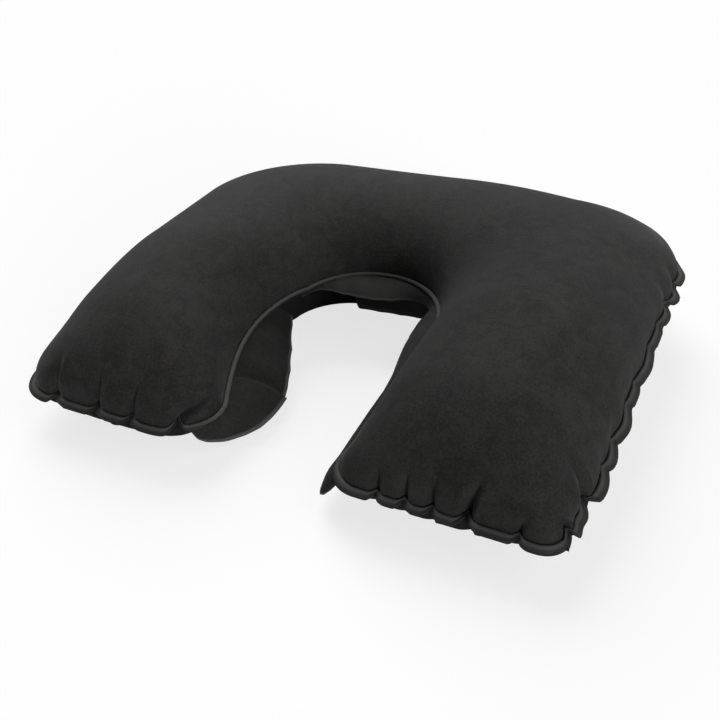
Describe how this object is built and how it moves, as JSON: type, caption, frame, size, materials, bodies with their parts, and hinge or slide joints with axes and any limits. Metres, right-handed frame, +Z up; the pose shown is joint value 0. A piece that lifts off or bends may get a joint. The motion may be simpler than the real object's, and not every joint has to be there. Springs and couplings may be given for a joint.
{
  "type": "u shaped neck pillow",
  "caption": "Inflatable U-shaped travel neck pillow of black flocked film, with a welded margin, guard flaps round the neck hole and a push-in air valve with a captive plug.",
  "frame": {"origin": "under the middle of the pillow, on the surface that it rests on", "axes": "+Z up; +X to the right with the gap between the arms at -Y, so the back of the neck rests towards +Y"},
  "size_m": [0.39, 0.336, 0.09],
  "materials": {
    "flocked_film": "black flock pile on soft vinyl film, matte with a faint sheen",
    "flocked_flap": "black flock pile on thin vinyl film, with creases",
    "valve_plastic": "soft black moulded vinyl, satin"
  },
  "bodies": {
    "pillow": {"upper_panel": "flocked_film", "lower_panel": "flocked_film", "neck_flap_left": "flocked_flap", "neck_flap_right": "flocked_flap", "valve_base": "valve_plastic"},
    "valve_stem": {"valve_stem": "valve_plastic", "valve_strap": "valve_plastic"},
    "valve_plug": {"valve_plug": "valve_plastic"},
    "valve_check_flap": {"valve_check_flap": "valve_plastic"}
  },
  "joints": [
    {"name": "stem_pull", "type": "slide", "parent": "pillow", "child": "valve_stem", "axis": [-0.866, 0, -0.5], "range_m": [0, 0.0085]},
    {"name": "plug_pull", "type": "slide", "parent": "valve_stem", "child": "valve_plug", "axis": [-0.866, 0, -0.5], "range_m": [0, 0.009], "deforming": ["valve_strap"]},
    {"name": "check_flap_open", "type": "hinge", "parent": "valve_stem", "child": "valve_check_flap", "pos_m": [-0.17384, -0.067, 0.0377], "axis": [0, -1, 0], "range_deg": [0, 40], "stiffness_Nm_per_rad": 0.002}
  ]
}
